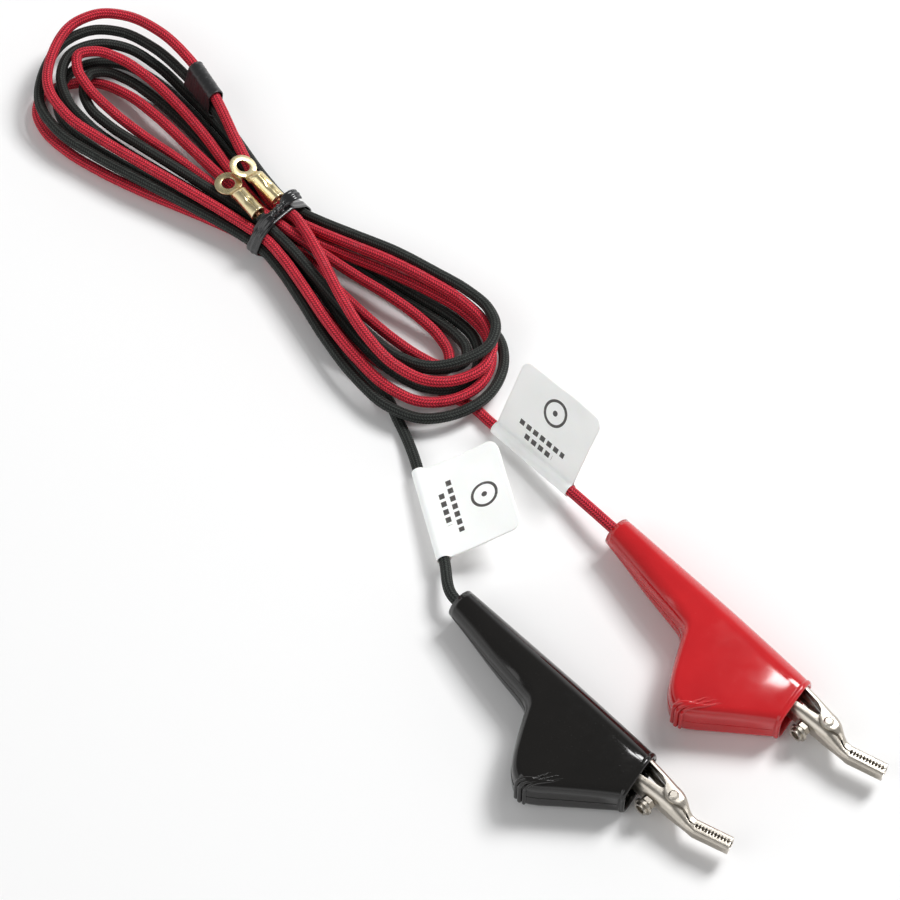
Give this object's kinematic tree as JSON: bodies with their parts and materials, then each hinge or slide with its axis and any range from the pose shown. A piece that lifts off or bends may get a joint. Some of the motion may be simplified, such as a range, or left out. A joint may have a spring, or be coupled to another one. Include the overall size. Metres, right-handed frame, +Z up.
{
  "type": "test lead set",
  "caption": "Pair of braided test leads, hanked and tied, with crimped ring terminals, flag labels and booted long-nose spring clips.",
  "frame": {"origin": "middle of the flat underside of the tie, on the plane the set rests on", "axes": "+X along the hank towards the clips, +Z up from the resting plane"},
  "size_m": [0.318, 0.1196, 0.0236],
  "materials": {
    "red_braid": "braided textile jacket",
    "black_braid": "braided textile jacket",
    "tie_plastic": "coated wire ribbon",
    "yoke_plastic": "shrunk tube",
    "ring_brass": "pale tinned brass",
    "copper": "stranded copper",
    "label_vinyl": "matte white label",
    "red_vinyl": "glossy soft vinyl",
    "black_vinyl": "glossy soft vinyl",
    "clip_steel": "nickel plated",
    "spring_steel": "bare spring wire"
  },
  "bodies": {
    "hank": {"red_cord": "red_braid", "black_cord": "black_braid", "tie_band": "tie_plastic", "yoke_sleeve": "yoke_plastic", "red_ring": "ring_brass", "black_ring": "ring_brass", "red_core_tip": "copper", "black_core_tip": "copper"},
    "red_tail": {"red_tail_cord": "red_braid", "red_label": "label_vinyl"},
    "red_clip": {"red_boot": "red_vinyl", "red_arm": "clip_steel", "red_rivet": "clip_steel", "red_spring": "spring_steel", "red_stub": "red_braid", "red_core": "copper", "red_crimp": "clip_steel"},
    "red_jaw": {"red_lever": "clip_steel", "red_stud": "clip_steel"},
    "black_tail": {"black_tail_cord": "black_braid", "black_label": "label_vinyl"},
    "black_clip": {"black_boot": "black_vinyl", "black_arm": "clip_steel", "black_rivet": "clip_steel", "black_spring": "spring_steel", "black_stub": "black_braid", "black_core": "copper", "black_crimp": "clip_steel"},
    "black_jaw": {"black_lever": "clip_steel", "black_stud": "clip_steel"}
  },
  "joints": [
    {"name": "red_tail_swing", "type": "hinge", "parent": "hank", "child": "red_tail", "pos_m": [0.07338, -0.01076, 0.0016], "axis": [0, 0, 1], "range_deg": [-4, 10], "stiffness_Nm_per_rad": 0.01},
    {"name": "red_clip_swing", "type": "hinge", "parent": "red_tail", "child": "red_clip", "pos_m": [0.13072, -0.01749, 0.006], "axis": [0, 0, 1], "range_deg": [-8, 20], "stiffness_Nm_per_rad": 0.01},
    {"name": "red_jaw_open", "type": "hinge", "parent": "red_clip", "child": "red_jaw", "pos_m": [0.20912, -0.0288, 0.006], "axis": [0, 0, -1], "range_deg": [0, 22], "stiffness_Nm_per_rad": 0.3, "springref_deg": -12.03, "deforming": ["red_spring"]},
    {"name": "black_tail_swing", "type": "hinge", "parent": "hank", "child": "black_tail", "pos_m": [0.06622, -0.02663, 0.0016], "axis": [0, 0, 1], "range_deg": [-10, 4], "stiffness_Nm_per_rad": 0.01},
    {"name": "black_clip_swing", "type": "hinge", "parent": "black_tail", "child": "black_clip", "pos_m": [0.11324, -0.06014, 0.006], "axis": [0, 0, 1], "range_deg": [-20, 8], "stiffness_Nm_per_rad": 0.01},
    {"name": "black_jaw_open", "type": "hinge", "parent": "black_clip", "child": "black_jaw", "pos_m": [0.19187, -0.06973, 0.006], "axis": [0, 0, -1], "range_deg": [0, 22], "stiffness_Nm_per_rad": 0.3, "springref_deg": -12.03, "deforming": ["black_spring"]}
  ]
}
